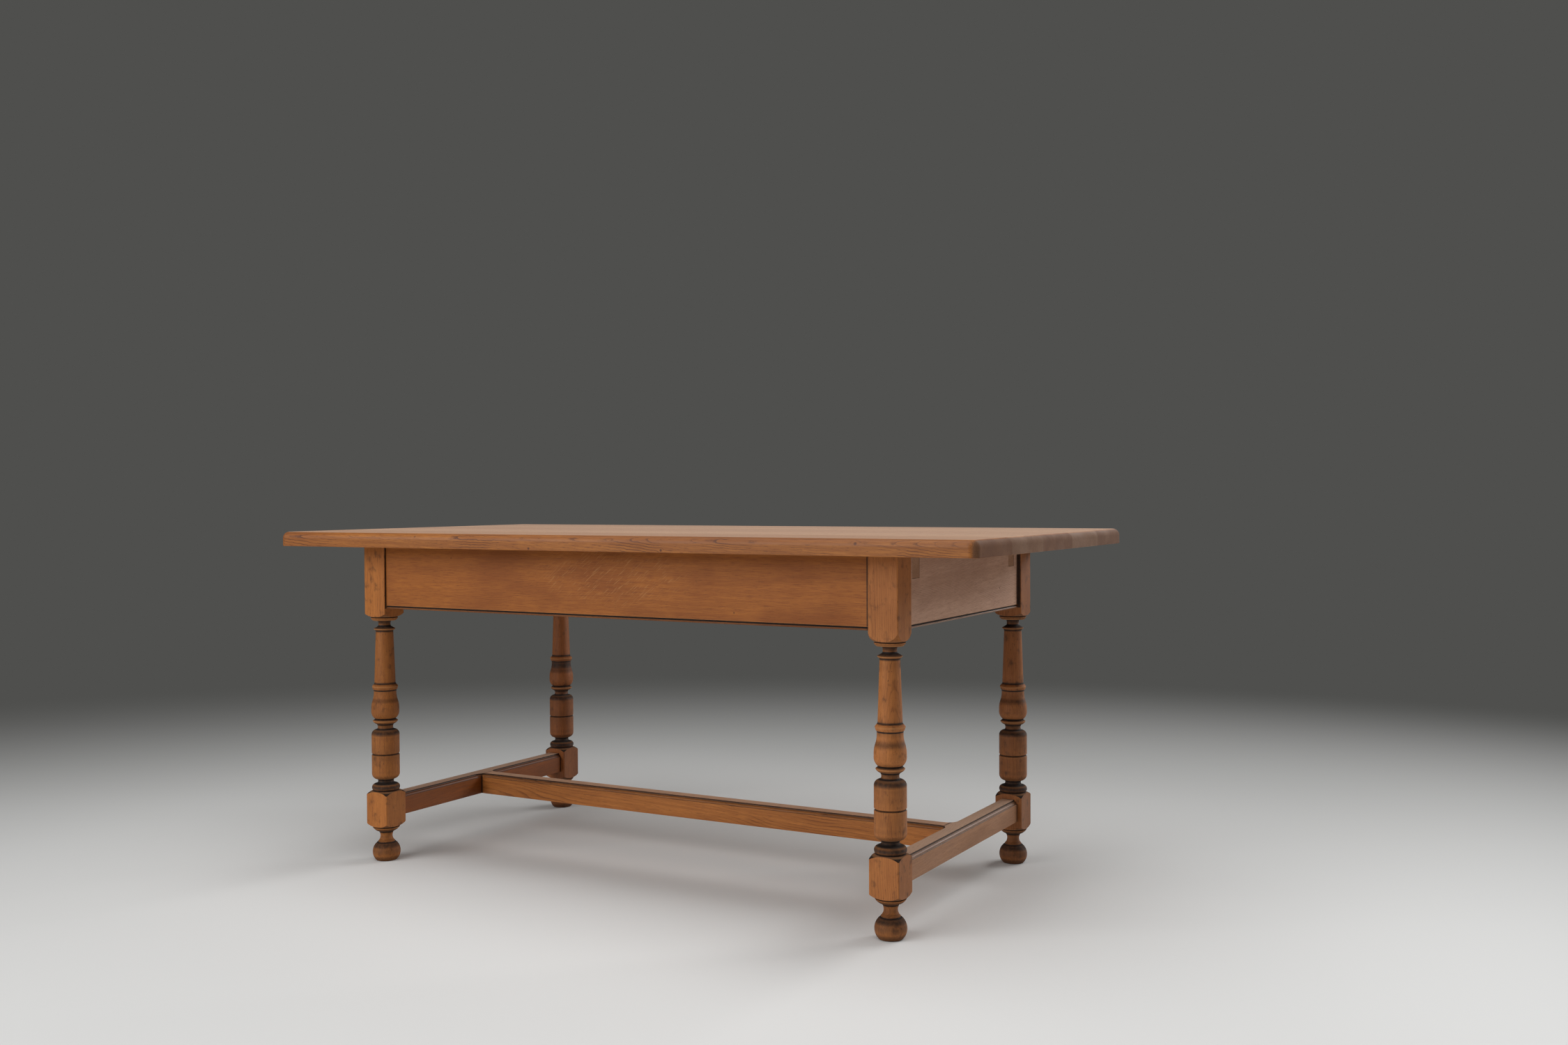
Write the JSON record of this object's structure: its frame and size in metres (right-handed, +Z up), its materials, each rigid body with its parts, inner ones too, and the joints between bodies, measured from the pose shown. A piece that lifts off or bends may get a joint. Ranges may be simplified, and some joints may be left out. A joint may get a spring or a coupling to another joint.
{
  "type": "refectory table",
  "caption": "Oak refectory table: turned legs on ball feet, moulded H-stretcher, beaded aprons, rounded plank top, and lopers that pull out of the ends to carry leaves.",
  "frame": {"origin": "on the floor under the middle of the top", "axes": "+X along the table towards the end seen on the right, -Y the front, +Z up"},
  "size_m": [1.725, 0.875, 0.76],
  "materials": {
    "oak_legs": "waxed, with dark antiquing in the hollows",
    "oak_aprons": "waxed satin",
    "oak_stretchers": "waxed satin, worn",
    "oak_top": "waxed satin",
    "oak_lopers": "oiled",
    "oak_hidden": "bare",
    "screw_steel": "plain steel"
  },
  "bodies": {
    "table": {"leg_front_left": "oak_legs", "leg_front_right": "oak_legs", "leg_back_left": "oak_legs", "leg_back_right": "oak_legs", "apron_front": "oak_aprons", "apron_back": "oak_aprons", "apron_left": "oak_aprons", "apron_right": "oak_aprons", "stretcher_left": "oak_stretchers", "stretcher_right": "oak_stretchers", "stretcher_centre": "oak_stretchers", "top_board_1": "oak_top", "top_board_2": "oak_top", "top_board_3": "oak_top", "top_board_4": "oak_top", "top_board_5": "oak_top", "board_tongue_1": "oak_hidden", "board_tongue_2": "oak_hidden", "board_tongue_3": "oak_hidden", "board_tongue_4": "oak_hidden", "cross_bearer_left": "oak_hidden", "cross_bearer_right": "oak_hidden", "top_buttons": "oak_hidden", "button_screws": "screw_steel"},
    "loper_right_front": {"loper_right_front": "oak_lopers", "stop_peg_right_front": "oak_hidden"},
    "loper_right_back": {"loper_right_back": "oak_lopers", "stop_peg_right_back": "oak_hidden"},
    "loper_left_front": {"loper_left_front": "oak_lopers", "stop_peg_left_front": "oak_hidden"},
    "loper_left_back": {"loper_left_back": "oak_lopers", "stop_peg_left_back": "oak_hidden"}
  },
  "joints": [
    {"name": "loper_right_front_slide", "type": "slide", "parent": "table", "child": "loper_right_front", "axis": [1, 0, 0], "range_m": [0, 0.5]},
    {"name": "loper_right_back_slide", "type": "slide", "parent": "table", "child": "loper_right_back", "axis": [1, 0, 0], "range_m": [0, 0.5]},
    {"name": "loper_left_front_slide", "type": "slide", "parent": "table", "child": "loper_left_front", "axis": [-1, 0, 0], "range_m": [0, 0.5]},
    {"name": "loper_left_back_slide", "type": "slide", "parent": "table", "child": "loper_left_back", "axis": [-1, 0, 0], "range_m": [0, 0.5]}
  ]
}
